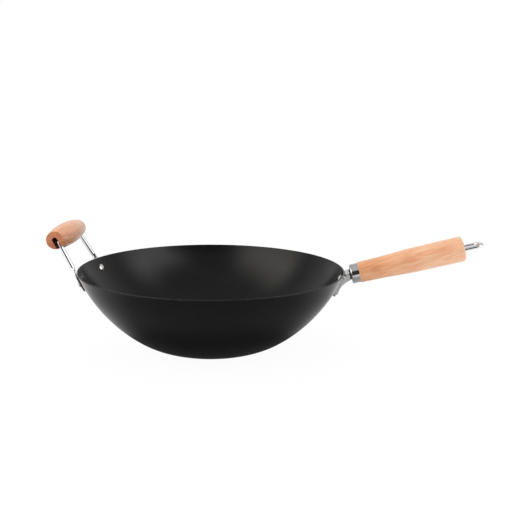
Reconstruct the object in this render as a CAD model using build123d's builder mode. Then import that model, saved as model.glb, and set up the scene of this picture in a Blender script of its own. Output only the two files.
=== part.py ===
from build123d import *
from math import atan2, cos, degrees, radians, sin, sqrt
import os

# Wok with a riveted wooden stick handle and a slotted wooden helper grip on a wire bail.
# Millimetres. The origin is the centre of the flat base, +Z is up, the stick handle runs along +X.
os.makedirs("parts", exist_ok=True)

# Bowl: steel sheet with a flat base, a tighter heel arc and a wide wall arc up to the rim
rim_radius = 175.0
rim_height = 105.8
base_radius = 42.9
heel_angle = 33.7
wall_angle = 67.4
sheet = 1.6
rim_rounding = 0.45

# Gap left between curved faces that seat on each other, and how far cuts run past a face
seat_gap = 0.3
overrun = 5.0

# Rivets
shank_radius = 2.5
head_radius = 5.0
head_height = 1.9
tail_radius = 4.0
tail_height = 2.4
head_edge_share = 0.25
tail_edge_share = 0.35
tail_flat_share = 0.4

# Stick handle axis: how far outside the rim it meets the ferrule's front face, and its rise
handle_outset = 8.2
handle_drop = 3.7
handle_rise = 14.6

# Bracket between the wall and the stick handle
plate_thickness = 4.3
plate_width = 20.0
plate_top = 4.5
plate_bottom = 35.0
plate_corner = 4.0
plate_edge = 0.6
upper_rivet_run = 11.6
lower_rivet_run = 29.0
neck_radius = 6.95
neck_length = 3.9
cheek_thickness = 2.2
cheek_crest = 1.0
hood_reach = 12.0
cheek_drop = 6.6
belly_runs = (9.5, 12.3, 15.4, 18.8)
belly_depths = (8.6, 7.2, 6.0, 5.0)
cheek_foot_run = 23.0

# Heat spacer, ferrule and tie rod
spacer_length = 1.8
ferrule_radius = 12.75
ferrule_length = 11.2
ferrule_wall = 1.0
ferrule_face = 1.2
ferrule_rounding = 1.8
rod_radius = 3.0
rod_end = 104.0
rod_chamfer = 0.6

# Wooden stick grip: distances from the ferrule's front face, and the radius at each
grip_end = 150.0
tenon_relief = 0.6
grip_front_radius = 13.6
grip_stations = (24.0, 45.0, 66.0, 98.0, 130.0)
grip_radii = (13.8, 14.33, 15.43, 16.15, 16.43)
butt_start = 143.0
butt_radius = 16.5
butt_dome = 2.6
butt_rounding = 3.2

# Hanging loop in the butt end
loop_wire_radius = 2.2
loop_half_spread = 9.4
loop_reach = 24.4
loop_depth = 20.0
loop_hole_relief = 2.0

# Helper handle: wire bail and barrel grip
helper_outset = 18.5
helper_lift = 42.3
wire_radius = 3.22
bail_half_top = 42.9
bail_half_rim = 50.6
bail_bend = 8.0
leg_stop_lift = 6.0
barrel_half_length = 52.1
barrel_radius = 14.95
barrel_end_radius = 11.4
barrel_edge = 0.9
slot_depth = 22.0
tab_width = 12.0
tab_thickness = 2.0
tab_crown_lift = 0.8
tab_bottom = 25.6
tab_rivet_run = 15.0
tab_edge = 0.9

# Both arcs of the bowl, worked out so that they end on the rim at the wall angle
wall_cos = cos(radians(wall_angle))
wall_sin = sin(radians(wall_angle))
heel_cos = cos(radians(heel_angle))
heel_sin = sin(radians(heel_angle))
wall_spread = rim_radius - base_radius
heel_run = 1 - heel_cos
wall_run = heel_cos - wall_cos
wall_swing = wall_sin - heel_sin
arc_ratio = heel_sin * wall_run - wall_swing * heel_run
heel_arc = (wall_spread * wall_run - rim_height * wall_swing) / arc_ratio
wall_arc = (rim_height * heel_sin - wall_spread * heel_run) / arc_ratio
arc_reach = rim_radius - wall_arc * wall_sin
arc_height = rim_height + wall_arc * wall_cos

# Reach of both handles and of the bail's legs, whose flat ends lie against the wall
handle_reach = rim_radius + handle_outset
helper_reach = rim_radius + helper_outset
leg_ring = rim_radius + (seat_gap + tab_thickness / 2) / wall_sin
bail_rim_reach = sqrt(leg_ring * leg_ring - bail_half_rim * bail_half_rim)


# Slope of the wall, in degrees, at a given run below the rim along the wall
def wall_slope(run):
    return wall_angle - degrees(run / wall_arc)


# Side view (x, z) of a point a given run below the rim and a given depth outside the wall
def wall_point(run, depth):
    slope = radians(wall_slope(run))
    reach = arc_reach + (wall_arc + depth) * sin(slope)
    height = arc_height - (wall_arc + depth) * cos(slope)
    return (reach, height)


# Plane on the outside of the wall: x runs up the slope, z points outwards
def wall_frame(bearing, run):
    reach, height = wall_point(run, 0)
    slope = radians(wall_slope(run))
    east = cos(radians(bearing))
    north = sin(radians(bearing))
    return Plane(
        origin=(reach * east, reach * north, height),
        x_dir=(cos(slope) * east, cos(slope) * north, sin(slope)),
        z_dir=(sin(slope) * east, sin(slope) * north, -cos(slope)),
    )


# Upright plane through the bowl's axis: x is the radius, y is the height
def upright_plane(bearing):
    east = cos(radians(bearing))
    north = sin(radians(bearing))
    return Plane(origin=(0, 0, 0), x_dir=(east, north, 0), z_dir=(north, -east, 0))


# Half section of a domed rivet whose tail sits on a seat outside the wall
head_face = -sheet - seat_gap
head_top = head_face - head_height
head_edge = head_face - head_height * head_edge_share


def rivet_section(frame, seat):
    tail_top = seat + tail_height
    tail_edge = seat + tail_height * tail_edge_share
    tail_flat = tail_radius * tail_flat_share
    upright = Plane(origin=frame.origin, x_dir=frame.x_dir, z_dir=-frame.y_dir)
    with BuildSketch(upright) as section:
        with BuildLine():
            Polyline((0, head_top), (0, tail_top), (tail_flat, tail_top))
            TangentArc((tail_flat, tail_top), (tail_radius, tail_edge), tangent=(1, 0))
            Polyline((tail_radius, tail_edge), (tail_radius, seat), (shank_radius, seat))
            Polyline((shank_radius, seat), (shank_radius, head_face), (head_radius, head_face))
            Line((head_radius, head_face), (head_radius, head_edge))
            TangentArc((0, head_top), (head_radius, head_edge), tangent=(1, 0))
        make_face()
    return section.sketch


# Frames along the stick handle: x runs along its axis
handle_cos = cos(radians(handle_rise))
handle_sin = sin(radians(handle_rise))
handle_root = (handle_reach, 0, rim_height - handle_drop)
handle_direction = (handle_cos, 0, handle_sin)
handle_axis = Axis(handle_root, handle_direction)
handle_side = Plane(origin=handle_root, x_dir=handle_direction, z_dir=(0, -1, 0))
handle_above = Plane(origin=handle_root, x_dir=handle_direction, z_dir=(-handle_sin, 0, handle_cos))
handle_face = Plane(origin=handle_root, x_dir=(0, 1, 0), z_dir=handle_direction)


# Side view (x, z) of a point given along and above the stick handle's axis
def handle_point(along, above):
    reach = handle_reach + along * handle_cos - above * handle_sin
    height = rim_height - handle_drop + along * handle_sin + above * handle_cos
    return (reach, height)


# Riveted places as bearings and runs below the rim
bail_bearing = degrees(atan2(bail_half_rim, -bail_rim_reach))
rivet_places = (
    (0, upper_rivet_run),
    (0, lower_rivet_run),
    (bail_bearing, tab_rivet_run),
    (-bail_bearing, tab_rivet_run),
)
rivet_hole_radius = shank_radius + seat_gap
plate_seat = seat_gap + plate_thickness
tab_seat = seat_gap + tab_thickness
tab_middle = seat_gap + tab_thickness / 2

# Bowl
with BuildPart() as bowl:
    with BuildSketch(Plane.XZ) as bowl_section:
        with BuildLine():
            Line((0, 0), (base_radius, 0))
            heel = JernArc((base_radius, 0), (1, 0), heel_arc, heel_angle)
            JernArc(heel @ 1, heel % 1, wall_arc, wall_angle - heel_angle)
            Line(wall_point(0, 0), wall_point(0, -sheet))
            inner_heel = JernArc((base_radius, sheet), (1, 0), heel_arc - sheet, heel_angle)
            JernArc(inner_heel @ 1, inner_heel % 1, wall_arc - sheet, wall_angle - heel_angle)
            Polyline((base_radius, sheet), (0, sheet), (0, 0))
        make_face()
        fillet(bowl_section.vertices().sort_by(Axis.Y)[-2:], radius=rim_rounding)
    revolve(axis=Axis.Z)
    for bearing, run in rivet_places:
        with BuildSketch(wall_frame(bearing, run).offset(overrun)):
            Circle(rivet_hole_radius)
        extrude(amount=-sheet - 2 * overrun, mode=Mode.SUBTRACT)
bowl.part.label = "bowl"
export_step(bowl.part, "parts/bowl.step")

# Bracket: a plate curved to the wall, two cheeks rising from it, a bored neck and a hood up to the rim
plate_sweep = degrees(atan2(plate_width, wall_point(upper_rivet_run, 0)[0]))
plate_half_run = (plate_top + plate_bottom) / 2
plate_middle = seat_gap + plate_thickness / 2
neck_back = -spacer_length - neck_length
cheek_belly = [wall_point(run, depth) for run, depth in zip(belly_runs, belly_depths)]
cheek_foot = wall_point(cheek_foot_run, plate_middle)
cheek_back = wall_point(cheek_foot_run, 0)
cheek_heel = handle_point(-spacer_length, -cheek_drop)
with BuildPart() as bracket_arm:
    with BuildSketch(handle_face.offset(neck_back)):
        Circle(neck_radius)
        Circle(neck_radius - cheek_thickness, mode=Mode.SUBTRACT)
        Rectangle(2 * neck_radius, neck_radius, align=(Align.CENTER, Align.MAX), mode=Mode.SUBTRACT)
    extrude(amount=-hood_reach)
    with BuildSketch(Plane.XZ.offset(neck_radius)):
        with BuildLine():
            Polyline(
                cheek_foot,
                cheek_back,
                handle_point(neck_back - hood_reach, cheek_crest),
                handle_point(-spacer_length, cheek_crest),
                cheek_heel,
            )
            Spline(cheek_heel, *cheek_belly, cheek_foot)
        make_face()
    extrude(amount=-cheek_thickness)
    mirror(about=Plane.XZ)
    split(bisect_by=wall_frame(0, 0).offset(seat_gap), keep=Keep.TOP)

with BuildPart() as handle_bracket:
    with BuildSketch(upright_plane(-plate_sweep / 2)):
        with BuildLine():
            Line(wall_point(plate_top, plate_seat), wall_point(plate_top, seat_gap))
            ThreePointArc(
                wall_point(plate_top, seat_gap),
                wall_point(plate_half_run, seat_gap),
                wall_point(plate_bottom, seat_gap),
            )
            Line(wall_point(plate_bottom, seat_gap), wall_point(plate_bottom, plate_seat))
            ThreePointArc(
                wall_point(plate_bottom, plate_seat),
                wall_point(plate_half_run, plate_seat),
                wall_point(plate_top, plate_seat),
            )
        make_face()
    revolve(axis=Axis.Z, revolution_arc=plate_sweep)
    fillet(handle_bracket.edges().sort_by(SortBy.LENGTH)[:4], radius=plate_corner)
    fillet(handle_bracket.faces().sort_by(SortBy.AREA)[-1].edges(), radius=plate_edge)
    add(bracket_arm.part)
    with BuildSketch(handle_face.offset(-spacer_length)):
        Circle(neck_radius)
    extrude(amount=-neck_length)
    with BuildSketch(handle_face.offset(-spacer_length + overrun)):
        Circle(rod_radius + seat_gap)
    extrude(amount=-neck_length - overrun, mode=Mode.SUBTRACT)
    for run in (upper_rivet_run, lower_rivet_run):
        with BuildSketch(wall_frame(0, run)):
            Circle(rivet_hole_radius)
        extrude(amount=plate_seat + overrun, mode=Mode.SUBTRACT)
handle_bracket.part.label = "handle_bracket"
export_step(handle_bracket.part, "parts/handle_bracket.step")

# Bracket rivets
upper_place = wall_frame(0, upper_rivet_run)
with BuildPart() as bracket_rivet_upper:
    add(rivet_section(upper_place, plate_seat))
    revolve(axis=Axis(upper_place.origin, upper_place.z_dir))
bracket_rivet_upper.part.label = "bracket_rivet_upper"
export_step(bracket_rivet_upper.part, "parts/bracket_rivet_upper.step")

lower_place = wall_frame(0, lower_rivet_run)
with BuildPart() as bracket_rivet_lower:
    add(rivet_section(lower_place, plate_seat))
    revolve(axis=Axis(lower_place.origin, lower_place.z_dir))
bracket_rivet_lower.part.label = "bracket_rivet_lower"
export_step(bracket_rivet_lower.part, "parts/bracket_rivet_lower.step")

# Heat spacer between the bracket's neck and the ferrule
with BuildPart() as heat_spacer:
    with BuildSketch(handle_face.offset(-spacer_length)):
        Circle(neck_radius)
        Circle(rod_radius + seat_gap, mode=Mode.SUBTRACT)
    extrude(amount=spacer_length)
heat_spacer.part.label = "heat_spacer"
export_step(heat_spacer.part, "parts/heat_spacer.step")

# Ferrule: a cup with a hole for the tie rod
with BuildPart() as ferrule:
    with BuildSketch(handle_side) as ferrule_section:
        with BuildLine():
            Polyline(
                (0, rod_radius + seat_gap),
                (0, ferrule_radius),
                (ferrule_length, ferrule_radius),
                (ferrule_length, ferrule_radius - ferrule_wall),
                (ferrule_face, ferrule_radius - ferrule_wall),
                (ferrule_face, rod_radius + seat_gap),
                close=True,
            )
        make_face()
        front_corners = ferrule_section.vertices().group_by(Axis.X)[0]
        fillet(front_corners.sort_by(Axis.Y)[-1], radius=ferrule_rounding)
    revolve(axis=handle_axis)
ferrule.part.label = "ferrule"
export_step(ferrule.part, "parts/ferrule.step")

# Tie rod from the bracket's neck deep into the stick grip
with BuildPart() as tie_rod:
    with BuildSketch(handle_face.offset(neck_back)):
        Circle(rod_radius)
    extrude(amount=rod_end - neck_back)
    chamfer(tie_rod.edges().filter_by(GeomType.CIRCLE), length=rod_chamfer)
tie_rod.part.label = "tie_rod"
export_step(tie_rod.part, "parts/tie_rod.step")

# Stick grip: tenon, waisted front and a fuller butt with a domed end
tenon_radius = ferrule_radius - ferrule_wall - seat_gap
tenon_start = ferrule_face + tenon_relief
grip_curve = [(along, radius) for along, radius in zip(grip_stations, grip_radii)]
butt_corner = grip_end - butt_dome
with BuildPart() as stick_grip:
    with BuildSketch(handle_side) as grip_section:
        with BuildLine():
            Polyline(
                (grip_end, 0),
                (tenon_start, 0),
                (tenon_start, tenon_radius),
                (ferrule_length, tenon_radius),
                (ferrule_length, grip_front_radius),
            )
            Spline((ferrule_length, grip_front_radius), *grip_curve, (butt_start, butt_radius))
            Line((butt_start, butt_radius), (butt_corner, butt_radius))
            TangentArc((grip_end, 0), (butt_corner, butt_radius), tangent=(0, 1))
        make_face()
        outer_corners = grip_section.vertices().sort_by(Axis.X)
        fillet(outer_corners[-2], radius=butt_rounding)
    revolve(axis=handle_axis)
    with BuildSketch(handle_face):
        Circle(rod_radius + seat_gap)
    extrude(amount=rod_end + seat_gap, mode=Mode.SUBTRACT)
    with BuildSketch(handle_face.offset(grip_end + overrun)):
        with Locations((loop_half_spread, 0), (-loop_half_spread, 0)):
            Circle(loop_wire_radius + seat_gap)
    extrude(amount=-overrun - loop_depth - loop_hole_relief, mode=Mode.SUBTRACT)
stick_grip.part.label = "stick_grip"
export_step(stick_grip.part, "parts/stick_grip.step")

# Hanging loop: a wire hairpin let into the butt
loop_start = grip_end - loop_depth
loop_turn = grip_end + loop_reach - loop_wire_radius - loop_half_spread
with BuildPart() as hanging_loop:
    with BuildLine(handle_above) as loop_path:
        Line((loop_start, -loop_half_spread), (loop_turn, -loop_half_spread))
        ThreePointArc(
            (loop_turn, -loop_half_spread),
            (loop_turn + loop_half_spread, 0),
            (loop_turn, loop_half_spread),
        )
        Line((loop_turn, loop_half_spread), (loop_start, loop_half_spread))
    with BuildSketch(handle_face.offset(loop_start)):
        with Locations((-loop_half_spread, 0)):
            Circle(loop_wire_radius)
    sweep(path=loop_path.wire())
hanging_loop.part.label = "hanging_loop"
export_step(hanging_loop.part, "parts/hanging_loop.step")

# Helper bail: one wire through the barrel, its ends flattened into riveted tabs
leg_share = leg_stop_lift / helper_lift
leg_stop_reach = bail_rim_reach + (helper_reach - bail_rim_reach) * leg_share
leg_stop_half = bail_half_rim + (bail_half_top - bail_half_rim) * leg_share
grip_height = rim_height + helper_lift
leg_low = (-leg_stop_reach, -leg_stop_half, rim_height + leg_stop_lift)
leg_high = (-helper_reach, -bail_half_top, grip_height)
leg_line = Vector(*leg_high) - Vector(*leg_low)
tab_place = wall_frame(-bail_bearing, tab_rivet_run)
tab_core = tab_place.offset(tab_middle)
tab_crown = tab_core.origin + tab_core.x_dir * (tab_rivet_run + tab_crown_lift)
tab_section = Plane(origin=tab_crown, x_dir=tab_place.y_dir, z_dir=tab_place.x_dir)
tab_tip_shift = tab_rivet_run - tab_bottom + tab_width / 2
with BuildPart() as helper_bail:
    with BuildSketch(Plane(origin=leg_low, z_dir=leg_line)):
        Circle(wire_radius)
    with BuildSketch(tab_section):
        RectangleRounded(tab_width, tab_thickness, tab_edge)
    loft()
    with BuildSketch(tab_section):
        RectangleRounded(tab_width, tab_thickness, tab_edge)
    extrude(amount=-tab_crown_lift - tab_bottom)
    with BuildSketch(tab_place):
        with Locations((tab_tip_shift, 0)):
            Rectangle(tab_width, tab_width + overrun, align=(Align.MAX, Align.CENTER))
            Circle(tab_width / 2, mode=Mode.SUBTRACT)
    extrude(amount=tab_seat + overrun, mode=Mode.SUBTRACT)
    with BuildSketch(tab_place):
        Circle(rivet_hole_radius)
    extrude(amount=tab_seat + overrun, mode=Mode.SUBTRACT)
    with BuildLine() as bail_path:
        FilletPolyline(leg_low, leg_high, (-helper_reach, 0, grip_height), radius=bail_bend)
    with BuildSketch(Plane(origin=leg_low, z_dir=leg_line)):
        Circle(wire_radius)
    sweep(path=bail_path.wire())
    mirror(about=Plane.XZ)
helper_bail.part.label = "helper_bail"
export_step(helper_bail.part, "parts/helper_bail.step")

# Helper grip: a turned barrel, bored for the wire and slotted at both ends for its legs
grip_centre = (-helper_reach, 0, grip_height)
barrel_section = Plane(origin=grip_centre, x_dir=(0, 1, 0), z_dir=(1, 0, 0))
leg_lean = (helper_reach - bail_rim_reach, 0, -helper_lift)
slot_width = 2 * (wire_radius + seat_gap)
with BuildPart() as helper_grip:
    with BuildSketch(barrel_section) as barrel:
        with BuildLine():
            Line((-barrel_half_length, 0), (barrel_half_length, 0))
            Line((barrel_half_length, 0), (barrel_half_length, barrel_end_radius))
            ThreePointArc(
                (barrel_half_length, barrel_end_radius),
                (0, barrel_radius),
                (-barrel_half_length, barrel_end_radius),
            )
            Line((-barrel_half_length, barrel_end_radius), (-barrel_half_length, 0))
        make_face()
        fillet(barrel.vertices().sort_by(Axis.Y)[-2:], radius=barrel_edge)
    revolve(axis=Axis(grip_centre, (0, 1, 0)))
    for side in (1, -1):
        end_centre = (-helper_reach, side * barrel_half_length, grip_height)
        end_face = Plane(origin=end_centre, x_dir=leg_lean, z_dir=(0, side, 0))
        with BuildSketch(end_face):
            Rectangle(barrel_radius + overrun, slot_width, align=(Align.MIN, Align.CENTER))
        extrude(amount=-slot_depth, mode=Mode.SUBTRACT)
        with BuildSketch(end_face):
            Circle(slot_width / 2)
        extrude(amount=-barrel_half_length, mode=Mode.SUBTRACT)
helper_grip.part.label = "helper_grip"
export_step(helper_grip.part, "parts/helper_grip.step")

# Helper rivets, front and rear
front_place = wall_frame(-bail_bearing, tab_rivet_run)
with BuildPart() as helper_rivet_front:
    add(rivet_section(front_place, tab_seat))
    revolve(axis=Axis(front_place.origin, front_place.z_dir))
helper_rivet_front.part.label = "helper_rivet_front"
export_step(helper_rivet_front.part, "parts/helper_rivet_front.step")

rear_place = wall_frame(bail_bearing, tab_rivet_run)
with BuildPart() as helper_rivet_rear:
    add(rivet_section(rear_place, tab_seat))
    revolve(axis=Axis(rear_place.origin, rear_place.z_dir))
helper_rivet_rear.part.label = "helper_rivet_rear"
export_step(helper_rivet_rear.part, "parts/helper_rivet_rear.step")
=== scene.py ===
import bpy
from math import cos, radians, sin
from mathutils import Matrix, Vector

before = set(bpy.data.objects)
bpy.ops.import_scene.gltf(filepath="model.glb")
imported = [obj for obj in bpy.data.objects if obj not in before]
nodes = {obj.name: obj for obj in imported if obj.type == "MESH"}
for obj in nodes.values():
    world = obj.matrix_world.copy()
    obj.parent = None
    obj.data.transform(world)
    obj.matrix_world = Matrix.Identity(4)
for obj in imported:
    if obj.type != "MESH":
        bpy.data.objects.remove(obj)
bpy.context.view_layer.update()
scene = bpy.context.scene
scene.view_settings.view_transform = "Standard"

# Sizes of the wok in metres and its angles, in the frame of the solids
RIM_RADIUS = 0.175
RIM_HEIGHT = 0.1058
HANDLE_RISE = radians(14.6)
HANDLE_ROOT = (0.1832, 0.0, 0.1021)
HELPER_CENTRE = (-0.1935, 0.0, 0.1481)
BARREL_HALF = 0.0521
SLOT_HALF = 0.00352
SLOT_DEPTH = 0.022
LEG_LEAN = Vector((0, -0.0245, -0.0423)).normalized()
TAB_TOP = RIM_HEIGHT - 0.004

# Camera, placed round the centre of the rim
ELEVATION = radians(11.934)
DISTANCE = 6.0 * RIM_RADIUS
YAW = radians(3.256)
PITCH = radians(-0.903)
ROLL = radians(0.648)
TURN = radians(6.5)
FOCAL_PIXELS = 791.63
IMAGE_PIXELS = 512
SENSOR_WIDTH = 36
standpoint = Vector((0, -DISTANCE * cos(ELEVATION), DISTANCE * sin(ELEVATION)))
dip = ELEVATION + PITCH
forward = Vector((sin(YAW) * cos(dip), cos(YAW) * cos(dip), -sin(dip)))
level = Vector((cos(YAW), -sin(YAW), 0))
upright = level.cross(forward)
right = cos(ROLL) * level + sin(ROLL) * upright
up = cos(ROLL) * upright - sin(ROLL) * level
axes = Matrix((right, up, -forward)).transposed().to_4x4()
turn = Matrix.Rotation(TURN, 4, "Z")
camera_data = bpy.data.cameras.new("camera")
camera_data.sensor_width = SENSOR_WIDTH
camera_data.lens = FOCAL_PIXELS / IMAGE_PIXELS * SENSOR_WIDTH
camera = bpy.data.objects.new("camera", camera_data)
scene.collection.objects.link(camera)
rim_centre = Matrix.Translation((0, 0, RIM_HEIGHT))
camera.matrix_world = rim_centre @ turn @ Matrix.Translation(standpoint) @ axes
scene.camera = camera


# Node helpers
def colour(red, green, blue):
    channels = []
    for part in (red, green, blue):
        part = part / 255
        channels.append(part / 12.92 if part <= 0.04045 else ((part + 0.055) / 1.055) ** 2.4)
    return (*channels, 1)


def add(tree, kind, inputs=None, **settings):
    made = tree.nodes.new("ShaderNode" + kind)
    for name, value in settings.items():
        setattr(made, name, value)
    for name, value in (inputs or {}).items():
        if isinstance(value, bpy.types.NodeSocket):
            tree.links.new(value, made.inputs[name])
        else:
            made.inputs[name].default_value = value
    return made


def maths(tree, operation, first, second=0.0, third=None):
    values = {0: first, 1: second}
    if third is not None:
        values[2] = third
    return add(tree, "Math", values, operation=operation).outputs[0]


def product(tree, first, *others):
    for other in others:
        first = maths(tree, "MULTIPLY", first, other)
    return first


def vectors(tree, operation, first, second):
    return add(tree, "VectorMath", {0: first, 1: second}, operation=operation).outputs[0]


def length(tree, vector):
    return add(tree, "VectorMath", {0: vector}, operation="LENGTH").outputs["Value"]


def dot(tree, first, second):
    made = add(tree, "VectorMath", {0: first, 1: second}, operation="DOT_PRODUCT")
    return made.outputs["Value"]


def split_up(tree, vector):
    return add(tree, "SeparateXYZ", {"Vector": vector}).outputs


def ramp(tree, factor, stops):
    made = add(tree, "ValToRGB", {"Fac": factor})
    points = made.color_ramp.elements
    while len(points) < len(stops):
        points.new(1.0)
    for point, (position, value) in zip(points, stops):
        point.position = position
        point.color = value if isinstance(value, tuple) else (value, value, value, 1)
    return made.outputs["Color"]


# Value carried from one range to another, eased at both ends and held outside the range
def spread(tree, value, low, high, out_low=0.0, out_high=1.0, smooth=True):
    made = add(tree, "MapRange", {"Value": value, "From Min": low, "From Max": high,
                                  "To Min": out_low, "To Max": out_high})
    made.interpolation_type = "SMOOTHSTEP" if smooth else "LINEAR"
    return made.outputs["Result"]


# The same for an angle whose range is given in degrees
def arc(tree, angle, low, high, out_low=0.0, out_high=1.0):
    return spread(tree, angle, radians(low), radians(high), out_low, out_high)


# One value where a mask is empty and another where it is full
def share(tree, mask, empty, full):
    return spread(tree, mask, 0.0, 1.0, empty, full, smooth=False)


def noise(tree, vector, scale, detail=3.0, roughness=0.5, distortion=0.0):
    return add(tree, "TexNoise", {"Vector": vector, "Scale": scale, "Detail": detail,
                                  "Roughness": roughness, "Distortion": distortion}).outputs["Fac"]


def blend(tree, factor, first, second, mode="MIX"):
    made = add(tree, "Mix", {0: factor, 6: first, 7: second}, data_type="RGBA", blend_type=mode)
    return made.outputs[2]


def tinted(tree, mask, base, tint):
    return blend(tree, mask, base, blend(tree, 1.0, base, tint, "MULTIPLY"))


def scaled(tree, vector, sizes):
    return add(tree, "Mapping", {"Vector": vector, "Scale": sizes}).outputs["Vector"]


def bumped(tree, height, strength, distance):
    made = add(tree, "Bump", {"Height": height, "Strength": strength, "Distance": distance})
    return made.outputs["Normal"]


def material(name):
    made = bpy.data.materials.new(name)
    made.use_nodes = True
    return made, made.node_tree, made.node_tree.nodes["Principled BSDF"]


def connect(tree, shader, **links):
    for name, value in links.items():
        tree.links.new(value, shader.inputs[name.replace("_", " ")])


def new_group(name, inputs, outputs):
    group = bpy.data.node_groups.new(name, "ShaderNodeTree")
    for in_out, sockets in (("INPUT", inputs), ("OUTPUT", outputs)):
        for socket, kind in sockets:
            group.interface.new_socket(socket, in_out=in_out, socket_type="NodeSocket" + kind)
    return group, group.nodes.new("NodeGroupInput"), group.nodes.new("NodeGroupOutput")


def place_group(tree, group):
    made = tree.nodes.new("ShaderNodeGroup")
    made.node_tree = group
    return made


def dress(node, made):
    node.data.materials.clear()
    node.data.materials.append(made)


# Beech: a solid grain with x along the wood. Sizes in metres, scales in cells per metre
PITH_SHIFT = (0, 0.034, -0.021)
RING_SPACING = 0.0026
RING_WANDER = 0.011
GRAIN_SLANT = (0, radians(9), radians(-4))
SWAY_SCALE = (9, 28, 28)
STREAK_SCALE = (20, 280, 280)
FIBRE_SCALE = (60, 2300, 2300)
FLECK_SCALE = (330, 2100, 2100)
CLOUD_SCALE = (26, 85, 85)
PORE_SCALE = 2600
BEECH_TONES = [(0.26, colour(230, 186, 151)), (0.42, colour(226, 175, 137)),
               (0.54, colour(221, 164, 123)), (0.68, colour(216, 151, 108)),
               (0.84, colour(209, 139, 94))]
FIGURE_TONE = colour(214, 148, 107)
FLECK_TONE = colour(198, 138, 100)
END_TONE = colour(204, 142, 102)
END_RING_TONE = colour(164, 98, 62)
PORE_TONE = colour(130, 82, 54)
# Pale tone of the painted sheen at glancing angles
PAINTED_SHEEN_TONE = colour(248, 228, 212)
WOOD_BUMP = 0.1
WOOD_DEPTH = 0.0002


def beech_group():
    group, start, finish = new_group(
        "beech_grain",
        [("Wood Frame", "Vector"), ("End Grain", "Float"), ("Along Grain", "Float")],
        [("Color", "Color"), ("Roughness", "Float"), ("Height", "Float")],
    )
    place = start.outputs["Wood Frame"]
    end_grain = start.outputs["End Grain"]
    along_grain = start.outputs["Along Grain"]

    sway = noise(group, scaled(group, place, SWAY_SCALE), 1.0, 2.0)
    from_pith = vectors(group, "ADD", place, PITH_SHIFT)
    radius = length(group, vectors(group, "MULTIPLY", from_pith, (0, 1, 1)))
    wandering = maths(group, "MULTIPLY_ADD", sway, RING_WANDER, radius)
    ring_phase = maths(group, "FRACT", product(group, wandering, 1 / RING_SPACING))
    ring_line = ramp(group, ring_phase, [(0.0, 0.1), (0.55, 0.35), (0.86, 1.0), (1.0, 0.1)])
    ring_line.node.color_ramp.interpolation = "EASE"

    slanted = add(group, "Mapping", {"Vector": place, "Rotation": GRAIN_SLANT}).outputs["Vector"]
    streaks = noise(group, scaled(group, slanted, STREAK_SCALE), 1.0, 3.0, 0.55, 0.7)
    fibres = noise(group, scaled(group, slanted, FIBRE_SCALE), 1.0, 2.0, 0.6)
    flecks = noise(group, scaled(group, slanted, FLECK_SCALE), 1.0, 1.0, 0.5)
    fleck_mask = product(group, spread(group, flecks, 0.62, 0.72), along_grain)
    clouds = noise(group, scaled(group, place, CLOUD_SCALE), 1.0, 2.0, 0.55)
    figure = spread(group, clouds, 0.42, 0.68)

    drift = maths(group, "MULTIPLY_ADD", streaks, 0.75, product(group, ring_line, 0.24))
    tone = ramp(group, drift, BEECH_TONES)
    figured = blend(group, product(group, figure, 0.25), tone, FIGURE_TONE)
    flecked = blend(group, product(group, fleck_mask, 0.3), figured, FLECK_TONE)
    fibre_tone = ramp(group, fibres, [(0.3, 0.38), (0.7, 0.68)])
    fibred = blend(group, product(group, along_grain, 0.1), flecked, fibre_tone, "OVERLAY")

    pore_mask = spread(group, noise(group, place, PORE_SCALE, 1.0, 0.5), 0.56, 0.66)
    end_ringed = blend(group, product(group, ring_line, 0.5), END_TONE, END_RING_TONE)
    end_pored = blend(group, product(group, pore_mask, 0.15), end_ringed, PORE_TONE)
    surface = blend(group, end_grain, fibred, end_pored)

    raised = product(group, maths(group, "SUBTRACT", fibres, 0.5), product(group, along_grain, 0.6))
    side_height = maths(group, "MULTIPLY_ADD", fleck_mask, -0.5, raised)
    end_height = product(group, pore_mask, -0.4)
    height = add(group, "Mix", {0: end_grain, 2: side_height, 3: end_height}, data_type="FLOAT").outputs[0]
    end_rough = maths(group, "MULTIPLY_ADD", end_grain, 0.16, 0.36)
    rough = maths(group, "MULTIPLY_ADD", fibres, 0.22, end_rough)
    connect(group, finish, Color=surface, Roughness=rough, Height=height)
    return group


def beech(name, group, origin, rotation, axis, stain):
    made, tree, shader = material(name)
    coordinates = add(tree, "TexCoord")
    wood = add(tree, "Mapping", {"Vector": coordinates.outputs["Object"], "Location": origin,
                                 "Rotation": rotation}, vector_type="TEXTURE").outputs["Vector"]
    steep = maths(tree, "ABSOLUTE", dot(tree, coordinates.outputs["Normal"], axis))
    grain = place_group(tree, group)
    tree.links.new(wood, grain.inputs["Wood Frame"])
    tree.links.new(spread(tree, steep, 0.93, 0.99), grain.inputs["End Grain"])
    tree.links.new(spread(tree, steep, 0.55, 0.25), grain.inputs["Along Grain"])
    # Painted sheen: the wood is blended toward a pale tone at glancing angles, standing in for the
    # lacquer's reflection
    glancing = add(tree, "LayerWeight", {"Blend": 0.5}).outputs["Facing"]
    painted_sheen = spread(tree, glancing, 0.55, 0.95, 0.0, 0.38)
    base = stain(tree, wood, blend(tree, painted_sheen, grain.outputs["Color"], PAINTED_SHEEN_TONE))
    connect(tree, shader, Base_Color=base, Roughness=grain.outputs["Roughness"],
            Normal=bumped(tree, grain.outputs["Height"], WOOD_BUMP, WOOD_DEPTH))
    shader.inputs["Specular IOR Level"].default_value = 0.5
    shader.inputs["Coat Weight"].default_value = 0.8
    shader.inputs["Coat Roughness"].default_value = 0.3
    return made


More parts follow.
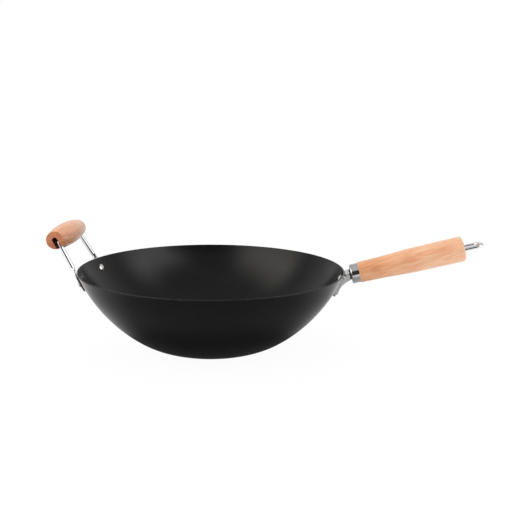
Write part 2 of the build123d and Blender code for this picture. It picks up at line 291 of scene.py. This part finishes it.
# Stick grip: three darker clouds of figure, and a wood that is more orange toward the ferrule.
# Each cloud has its place along, across and above the axis, its length, its width and its strength
CLOUD_TONE = colour(208, 134, 90)
CLOUD_DEPTH = 0.012
CLOUDS = (
    (0.033, -0.013, 0.001, 0.0085, 0.005, 0.62),
    (0.077, -0.014, 0.0052, 0.012, 0.006, 0.5),
    (0.127, -0.014, 0.0085, 0.011, 0.005, 0.42),
)
RAGGED_SCALE = (90, 420, 420)
TINT_START = 0.02
TINT_END = 0.15
STICK_TINTS = [(0.0, (0.9, 0.78, 0.64, 1)), (0.085, (0.96, 0.86, 0.73, 1)),
               (0.23, (0.98, 0.93, 0.86, 1)), (0.46, (0.97, 0.9, 0.82, 1)),
               (0.65, (1.03, 1.08, 1.15, 1)), (0.81, (1.01, 1.0, 1.01, 1)),
               (1.0, (1.03, 1.05, 1.1, 1))]


def stick_stain(tree, wood, base):
    ragged = product(tree, noise(tree, scaled(tree, wood, RAGGED_SCALE), 1.0, 3.0), 0.9)
    for along, across, above, reach, width, strength in CLOUDS:
        moved = vectors(tree, "ADD", wood, (-along, -across, -above))
        shaped = vectors(tree, "MULTIPLY", moved, (1 / reach, 1 / CLOUD_DEPTH, 1 / width))
        mask = spread(tree, maths(tree, "ADD", ragged, length(tree, shaped)), 1.9, 0.7)
        base = blend(tree, product(tree, mask, strength), base, CLOUD_TONE)
    tint = ramp(tree, spread(tree, split_up(tree, wood)["X"], TINT_START, TINT_END), STICK_TINTS)
    return blend(tree, 1.0, base, tint, "MULTIPLY")


# Helper grip: redder and streaked, with painted light making it paler toward the far end, painted shade
# along its underside and painted shade on the walls of the bore and slots
HELPER_TINT = (0.95, 0.76, 0.635, 1)
FACE_TINT = (0.93, 0.86, 0.66, 1)
UNDER_SHADE_TINT = (0.8, 0.56, 0.34, 1)
FAR_LIGHT_TONE = colour(244, 210, 190)
SLOT_SHADE_TONE = colour(112, 70, 46)
HELPER_STREAK_SCALE = (16, 430, 430)


def helper_stain(tree, wood, base):
    parts = split_up(tree, wood)
    lengthwise = parts["X"]
    near_face = spread(tree, lengthwise, -0.0485, -0.0515)
    # Painted shade: darker along the underside, fading out toward the far end
    painted_shade_under = product(tree, spread(tree, parts["Z"], 0.002, -0.008), spread(tree, lengthwise, 0.02, -0.03))
    # Painted light: paler toward the far end, most of all lower down, standing in for light from behind
    painted_far_light = product(tree, spread(tree, lengthwise, 0.0, 0.045, 0.0, 0.8),
                   spread(tree, parts["Z"], 0.012, -0.004, 0.35, 1.0))
    streaks = noise(tree, scaled(tree, wood, HELPER_STREAK_SCALE), 1.0, 3.0, 0.55)
    reddened = blend(tree, 1.0, base, HELPER_TINT, "MULTIPLY")
    reddened = tinted(tree, near_face, reddened, FACE_TINT)
    reddened = tinted(tree, painted_shade_under, reddened, UNDER_SHADE_TINT)
    streaked = blend(tree, 0.7, reddened, ramp(tree, streaks, [(0.35, 0.34), (0.65, 0.6)]), "OVERLAY")
    far_lit = blend(tree, painted_far_light, streaked, FAR_LIGHT_TONE)

    slot_end = BARREL_HALF - SLOT_DEPTH
    off_centre = maths(tree, "ABSOLUTE", lengthwise)
    outwards = dot(tree, wood, LEG_LEAN)
    across = maths(tree, "ABSOLUTE", dot(tree, wood, (0, LEG_LEAN.z, -LEG_LEAN.y)))
    in_slot = product(tree, spread(tree, across, SLOT_HALF + 0.0002, SLOT_HALF + 0.00005),
                      spread(tree, outwards, -SLOT_HALF, 0.0),
                      spread(tree, off_centre, slot_end - 0.0003, slot_end))
    radius = length(tree, vectors(tree, "MULTIPLY", wood, (0, 1, 1)))
    in_bore = spread(tree, radius, SLOT_HALF + 0.0003, SLOT_HALF + 0.0001)
    # Painted shade on the walls of the slots and the bore
    recess_shade = product(tree, maths(tree, "MAXIMUM", in_slot, in_bore), 0.96)
    return blend(tree, recess_shade, far_lit, SLOT_SHADE_TONE)


beech_grain = beech_group()
stick_beech = beech("stick_beech", beech_grain, HANDLE_ROOT, (0, -HANDLE_RISE, 0),
                    (cos(HANDLE_RISE), 0, sin(HANDLE_RISE)), stick_stain)
helper_beech = beech("helper_beech", beech_grain, HELPER_CENTRE, (0, 0, radians(90)),
                     (0, 1, 0), helper_stain)


# Metal: fine scratches and broader blotches
def scratch_group():
    group, start, finish = new_group("fine_scratches", [("Place", "Vector")],
                                     [("Lines", "Float"), ("Blotches", "Float")])
    place = start.outputs["Place"]
    connect(group, finish, Lines=noise(group, place, 1.0, 3.0, 0.65),
            Blotches=noise(group, place, 0.05, 3.0, 0.5))
    return group


scratches = scratch_group()
METAL_DEPTH = 0.0002
# Near-black of the painted shade on the bail's tabs
TAB_SHADE_TINT = (0.09, 0.09, 0.095, 1)
TAB_FADE = 0.002


def metal(name, tint, dull_tint, rough_low, rough_high, sizes, strength, rise=0.0, metallic=1.0,
          shade_below=None):
    made, tree, shader = material(name)
    place = add(tree, "TexCoord").outputs["Object"]
    aligned = add(tree, "Mapping", {"Vector": place, "Rotation": (0, -rise, 0)},
                  vector_type="TEXTURE").outputs["Vector"]
    marks = place_group(tree, scratches)
    tree.links.new(scaled(tree, aligned, sizes), marks.inputs["Place"])
    lines = marks.outputs["Lines"]
    blotches = marks.outputs["Blotches"]
    base = blend(tree, spread(tree, blotches, 0.35, 0.7), tint, dull_tint)
    # Painted shade: the chrome is darkened below the given height, on the flattened tabs of the bail
    if shade_below:
        low = spread(tree, split_up(tree, place)["Z"], shade_below + TAB_FADE, shade_below - TAB_FADE)
        base = blend(tree, low, base, TAB_SHADE_TINT)
    scratched = spread(tree, lines, 0.35, 0.75, rough_low, rough_high)
    rough = maths(tree, "ADD", scratched, product(tree, blotches, 0.05))
    connect(tree, shader, Base_Color=base, Roughness=rough,
            Normal=bumped(tree, lines, strength, METAL_DEPTH))
    shader.inputs["Metallic"].default_value = metallic
    return made


chrome = metal("chrome_wire_finish", (0.93, 0.93, 0.94, 1), (0.88, 0.88, 0.89, 1), 0.02, 0.06,
               (900, 900, 900), 0.01, shade_below=TAB_TOP)
ferrule_steel = metal("ferrule_polish", (0.81, 0.79, 0.81, 1), (0.74, 0.72, 0.74, 1), 0.05, 0.1,
                      (2600, 90, 90), 0.015, HANDLE_RISE)
bracket_steel = metal("bracket_satin", (0.78, 0.78, 0.77, 1), (0.66, 0.66, 0.65, 1), 0.28, 0.4,
                      (1400, 1400, 1400), 0.06, metallic=0.7)
rivet_steel = metal("rivet_finish", (0.88, 0.84, 0.81, 1), (0.8, 0.76, 0.73, 1), 0.1, 0.18,
                    (1500, 1500, 1500), 0.03)
rod_steel = metal("rod_finish", (0.5, 0.5, 0.5, 1), (0.42, 0.42, 0.42, 1), 0.3, 0.45,
                  (1200, 200, 1200), 0.1, HANDLE_RISE)

# Matte black coating over the steel sheet, worn along the rim
COAT_DEPTH = 0.00002
COAT_SPECULAR = 0.28
GRIT_SCALE = 2400
SPECK_SCALE = 620
MOTTLE_SCALE = 24
LATHE_SCALE = 900
WEAR_SCALE = 160
COAT_TONES = [(0.3, colour(9, 9, 9)), (0.7, colour(14, 14, 13))]
SPECK_TONE = colour(40, 40, 39)
WORN_TONE = colour(50, 49, 48)


def coating():
    made, tree, shader = material("black_coating")
    place = add(tree, "TexCoord").outputs["Object"]
    height = split_up(tree, place)["Z"]
    radius = length(tree, vectors(tree, "MULTIPLY", place, (1, 1, 0)))
    grit = noise(tree, place, GRIT_SCALE, 2.0, 0.6)
    speckle = noise(tree, place, SPECK_SCALE, 2.0, 0.5)
    mottle = noise(tree, place, MOTTLE_SCALE, 3.0, 0.5)
    profile = add(tree, "CombineXYZ", {"X": radius, "Y": height, "Z": 0.0}).outputs["Vector"]
    lathe_marks = noise(tree, profile, LATHE_SCALE, 2.0, 0.6)
    at_rim = spread(tree, height, RIM_HEIGHT - 0.0012, RIM_HEIGHT + 0.0003)
    worn = product(tree, at_rim, spread(tree, noise(tree, place, WEAR_SCALE, 3.0), 0.35, 0.75, 0.25, 1.0))
    specks = spread(tree, speckle, 0.64, 0.76, 0.0, 0.35)
    flecked = blend(tree, specks, ramp(tree, mottle, COAT_TONES), SPECK_TONE)
    edged = blend(tree, product(tree, worn, 0.3), flecked, WORN_TONE)
    glancing = add(tree, "LayerWeight", {"Blend": 0.5}).outputs["Facing"]
    smoother = spread(tree, glancing, 0.5, 0.92, 1.0, 0.3)
    matte = maths(tree, "ADD", spread(tree, mottle, 0.3, 0.7, 0.2, 0.25), product(tree, grit, 0.05))
    relief = maths(tree, "MULTIPLY_ADD", grit, 0.5, product(tree, lathe_marks, 0.3))
    connect(tree, shader, Base_Color=edged, Roughness=product(tree, matte, smoother),
            Normal=bumped(tree, relief, 0.08, COAT_DEPTH))
    shader.inputs["Specular IOR Level"].default_value = COAT_SPECULAR
    return made


def spacer_plastic():
    made, tree, shader = material("spacer_black")
    grit = noise(tree, add(tree, "TexCoord").outputs["Object"], 1800, 3.0, 0.6)
    base = ramp(tree, grit, [(0.35, colour(12, 12, 12)), (0.7, colour(28, 28, 28))])
    connect(tree, shader, Base_Color=base, Roughness=spread(tree, grit, 0.3, 0.7, 0.5, 0.65),
            Normal=bumped(tree, grit, 0.15, 0.0002))
    return made


dress(nodes["bowl"], coating())
dress(nodes["stick_grip"], stick_beech)
dress(nodes["helper_grip"], helper_beech)
dress(nodes["helper_bail"], chrome)
dress(nodes["hanging_loop"], chrome)
dress(nodes["ferrule"], ferrule_steel)
dress(nodes["handle_bracket"], bracket_steel)
dress(nodes["tie_rod"], rod_steel)
dress(nodes["heat_spacer"], spacer_plastic())
for name in ("bracket_rivet_upper", "bracket_rivet_lower", "helper_rivet_front", "helper_rivet_rear"):
    dress(nodes[name], rivet_steel)

# Studio: two soft banks of light, a low tent round the sides, a backdrop behind and a dark wedge
# on the camera's side. Azimuths run from the camera's side and, with elevations, are in degrees
CAMERA_SIDE = (sin(TURN), -cos(TURN), 0)
RIGHT_SIDE = (cos(TURN), sin(TURN), 0)
LEFT_BANK = {"centre": -65, "half_width": 33, "low": 28, "high": 49}
RIGHT_BANK = {"centre": 62, "half_width": 31, "low": 28, "high": 43}
BANK_SOFTNESS = 13
BANK_LEVEL = 2.55
RIGHT_BANK_GAIN = 1.12
LEFT_WARMTH = (1, 0.94, 0.88, 1)
SURROUND_LEVEL = 0.42
TENT_LEVEL = 0.75
ZENITH_LEVEL = 0.08
BACKDROP_LEVEL = 0.32
BACK_SHARE = 0.42
WEDGE_SHARE = 0.08
FLOOR_WEDGE_SHARE = 0.1
FILL_GAIN = 1.38
FLOOR_SIZE = 14


def turned_from_camera(tree, direction):
    flat = vectors(tree, "MULTIPLY", direction, (1, 1, 0))
    aside = dot(tree, flat, RIGHT_SIDE)
    return maths(tree, "ARCTAN2", aside, dot(tree, flat, CAMERA_SIDE))


def bank(tree, azimuth, height, centre, half_width, low, high):
    soft = BANK_SOFTNESS
    off = maths(tree, "ABSOLUTE", maths(tree, "SUBTRACT", azimuth, radians(centre)))
    return product(tree, arc(tree, off, half_width + soft, half_width - soft),
                   arc(tree, height, low - soft, low + soft),
                   arc(tree, height, high + soft, high - soft))


# The wedge swings to the right and widens toward the horizon
def wedge_across(tree, azimuth, low):
    centre = maths(tree, "MULTIPLY_ADD", low, radians(10.5), radians(1.5))
    off = maths(tree, "ABSOLUTE", maths(tree, "SUBTRACT", azimuth, centre))
    return arc(tree, maths(tree, "MULTIPLY_ADD", low, radians(-8), off), 28, 24)


def seen_directly(tree, path):
    return maths(tree, "MAXIMUM", path.outputs["Is Camera Ray"], path.outputs["Is Transmission Ray"])


def studio_world():
    world = bpy.data.worlds.new("studio")
    scene.world = world
    world.use_nodes = True
    tree = world.node_tree
    path = add(tree, "LightPath")
    mirrored = path.outputs["Is Glossy Ray"]
    ray = add(tree, "TexCoord").outputs["Generated"]
    height = maths(tree, "ARCSINE", split_up(tree, ray)["Z"])
    azimuth = turned_from_camera(tree, ray)
    aside = maths(tree, "ABSOLUTE", azimuth)

    left = bank(tree, azimuth, height, **LEFT_BANK)
    right = product(tree, bank(tree, azimuth, height, **RIGHT_BANK), RIGHT_BANK_GAIN)
    banks = maths(tree, "MULTIPLY_ADD", maths(tree, "ADD", left, right), BANK_LEVEL, SURROUND_LEVEL)
    tent = product(tree, arc(tree, aside, 22, 34), arc(tree, aside, 104, 84),
                   arc(tree, height, 36, 22, 0.0, TENT_LEVEL))
    zenith = arc(tree, height, 55, 75, 0.0, ZENITH_LEVEL)
    front = maths(tree, "ADD", banks, maths(tree, "ADD", tent, zenith))
    backdrop = product(tree, arc(tree, aside, 105, 140), arc(tree, height, 50, 20))
    open_air = maths(tree, "MULTIPLY_ADD", backdrop, BACKDROP_LEVEL, front)

    low = arc(tree, height, 41, 35)
    wedge = product(tree, wedge_across(tree, azimuth, low), arc(tree, height, 42, 36))
    back = product(tree, arc(tree, aside, 120, 138), arc(tree, height, 9, 2))
    sent = product(tree, open_air, share(tree, back, 1.0, BACK_SHARE),
                   share(tree, wedge, 1.0, WEDGE_SHARE), share(tree, mirrored, FILL_GAIN, 1.0))
    grey = add(tree, "CombineColor", {"Red": sent, "Green": sent, "Blue": sent}).outputs["Color"]
    warmed = tinted(tree, product(tree, left, mirrored), grey, LEFT_WARMTH)
    shown = blend(tree, seen_directly(tree, path), warmed, (1, 1, 1, 1))
    background = tree.nodes["Background"]
    tree.links.new(shown, background.inputs["Color"])
    background.inputs["Strength"].default_value = 1.0


# Floor: white to the camera and pale to the light. In reflections it shows a painted shadow of the bowl,
# darkest under it.
# Distances from the bowl's axis are in metres
def floor_white():
    made, tree, shader = material("floor_white")
    path = add(tree, "LightPath")
    place = add(tree, "TexCoord").outputs["Object"]
    distance = length(tree, place)
    azimuth = turned_from_camera(tree, place)
    aside = maths(tree, "ABSOLUTE", azimuth)

    # Painted shadow of the bowl on the floor as metals see it: darker under and beside the bowl
    painted_shade_under = spread(tree, distance, 0.12, 0.18, 0.06, 0.26)
    shadow_beside_bowl = product(tree, arc(tree, aside, 45, 95), spread(tree, distance, 0.105, 0.135, 0.0, 0.255))
    shadow_near_bowl = product(tree, maths(tree, "ADD", painted_shade_under, shadow_beside_bowl), arc(tree, azimuth, 30, 80, 1.0, 0.82))
    away = spread(tree, distance, 0.36, 0.6, 0.8, 1.0)
    widened = product(tree, distance, arc(tree, aside, 20, 60, 1.0, 1.2))
    far = maths(tree, "MAXIMUM", spread(tree, widened, 0.26, 0.4), arc(tree, aside, 100, 150))
    bright = add(tree, "Mix", {0: far, 2: shadow_near_bowl, 3: away}, data_type="FLOAT").outputs[0]
    back = product(tree, arc(tree, aside, 120, 138), spread(tree, distance, 0.45, 0.6))
    wedge = product(tree, wedge_across(tree, azimuth, 1.0), spread(tree, distance, 0.5, 0.62))
    mirrored = product(tree, bright, share(tree, back, 1.0, BACK_SHARE),
                       share(tree, wedge, 1.0, FLOOR_WEDGE_SHARE))

    shader.inputs["Base Color"].default_value = (0.9, 0.9, 0.9, 1)
    shader.inputs["Emission Color"].default_value = (1, 1, 1, 1)
    shader.inputs["Emission Strength"].default_value = 0.3
    shader.inputs["Roughness"].default_value = 0.9
    shader.inputs["Specular IOR Level"].default_value = 0.0
    white = add(tree, "Emission", {"Color": (1, 1, 1, 1), "Strength": 1.0})
    in_metal = add(tree, "Emission", {"Color": (1, 1, 1, 1), "Strength": mirrored})
    for_metal = add(tree, "MixShader", {0: path.outputs["Is Glossy Ray"], 1: shader.outputs[0],
                                        2: in_metal.outputs[0]})
    plain = product(tree, seen_directly(tree, path), spread(tree, distance, 0.2, 0.7, 0.94, 1.0))
    for_camera = add(tree, "MixShader", {0: plain, 1: for_metal.outputs[0], 2: white.outputs[0]})
    tree.links.new(for_camera.outputs[0], tree.nodes["Material Output"].inputs["Surface"])
    return made


# Soft lamp behind the wok, aimed at its middle and left out of reflections
LAMP_HEADING = TURN + radians(-150)
LAMP_ELEVATION = radians(62)
LAMP_DISTANCE = 1.7
LAMP_SIZE = 1.0
LAMP_POWER = 9
AIM_HEIGHT = 0.08


def soft_lamp():
    data = bpy.data.lights.new("top_softbox", "AREA")
    data.shape = "DISK"
    data.size = LAMP_SIZE
    data.energy = LAMP_POWER
    made = bpy.data.objects.new("top_softbox", data)
    scene.collection.objects.link(made)
    flat = cos(LAMP_ELEVATION)
    toward = Vector((sin(LAMP_HEADING) * flat, -cos(LAMP_HEADING) * flat, sin(LAMP_ELEVATION)))
    made.visible_glossy = False
    made.location = toward * LAMP_DISTANCE + Vector((0, 0, AIM_HEIGHT))
    made.rotation_euler = toward.to_track_quat("Z", "Y").to_euler()


studio_world()
bpy.ops.mesh.primitive_plane_add(size=FLOOR_SIZE, location=(0, 0, 0))
floor = bpy.context.object
floor.name = "floor"
floor.data.materials.append(floor_white())
soft_lamp()
